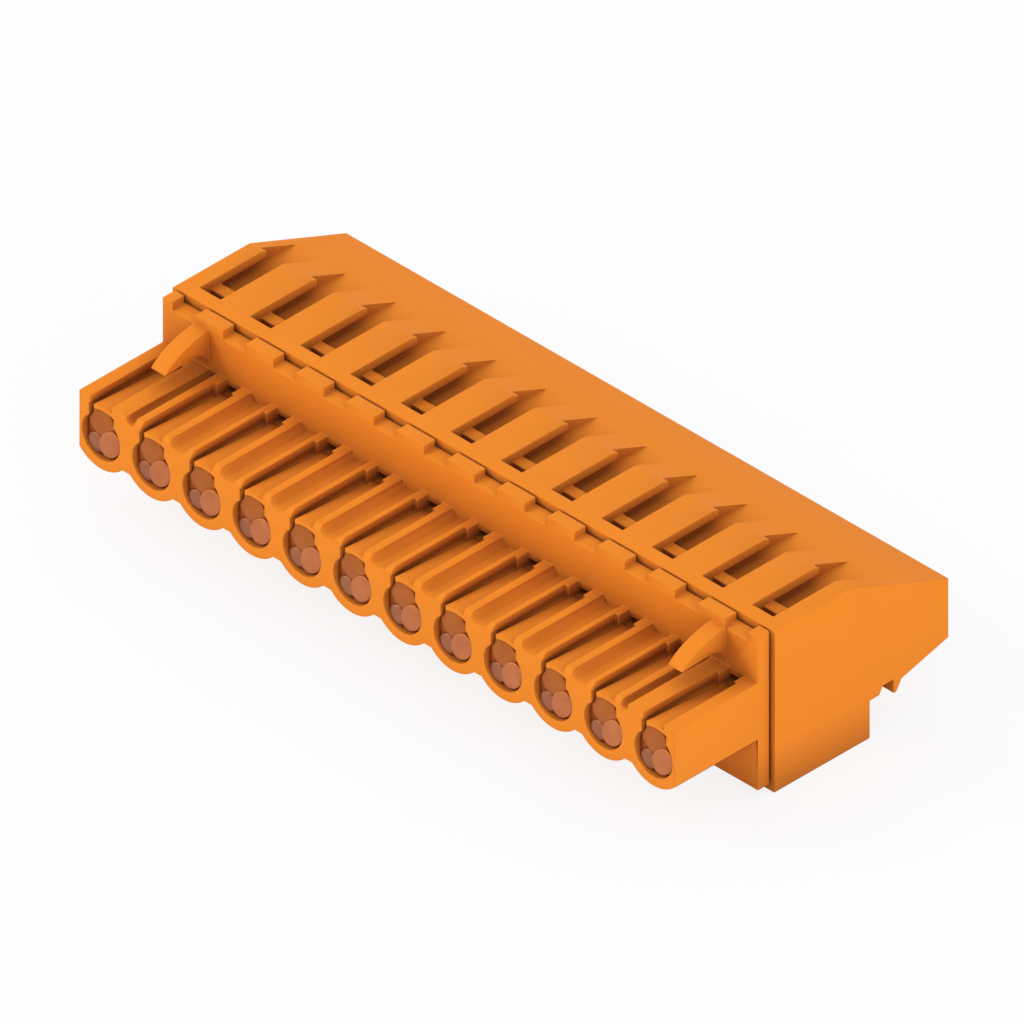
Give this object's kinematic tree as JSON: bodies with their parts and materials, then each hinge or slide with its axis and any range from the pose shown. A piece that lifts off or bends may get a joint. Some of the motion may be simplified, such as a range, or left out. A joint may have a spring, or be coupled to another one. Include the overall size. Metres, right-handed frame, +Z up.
{
  "type": "pluggable terminal block",
  "caption": "Pluggable terminal block: a row of spring clamps in an orange moulded housing, with a row of pin sockets and two latch hooks at the front.",
  "frame": {"origin": "middle of the block's bounding box, at the height of the foot it stands on", "axes": "+X along the row of poles, +Y from the socket mouths to the wire entries, +Z up"},
  "size_m": [0.061, 0.0274, 0.0141],
  "materials": {
    "housing_plastic": "moulded, fine matte grain",
    "socket_plastic": "moulded, fine matte grain",
    "contact_metal": "bare copper alloy, satin",
    "spring_steel": "bright spring steel strip"
  },
  "bodies": {
    "root": {"clamp_housing": "housing_plastic", "socket_housing": "socket_plastic", "socket_contact_01": "contact_metal", "socket_contact_02": "contact_metal", "socket_contact_03": "contact_metal", "socket_contact_04": "contact_metal", "socket_contact_05": "contact_metal", "socket_contact_06": "contact_metal", "socket_contact_07": "contact_metal", "socket_contact_08": "contact_metal", "socket_contact_09": "contact_metal", "socket_contact_10": "contact_metal", "socket_contact_11": "contact_metal", "socket_contact_12": "contact_metal", "clamp_spring_01": "spring_steel", "clamp_spring_02": "spring_steel", "clamp_spring_03": "spring_steel", "clamp_spring_04": "spring_steel", "clamp_spring_05": "spring_steel", "clamp_spring_06": "spring_steel", "clamp_spring_07": "spring_steel", "clamp_spring_08": "spring_steel", "clamp_spring_09": "spring_steel", "clamp_spring_10": "spring_steel", "clamp_spring_11": "spring_steel", "clamp_spring_12": "spring_steel"}
  },
  "joints": []
}
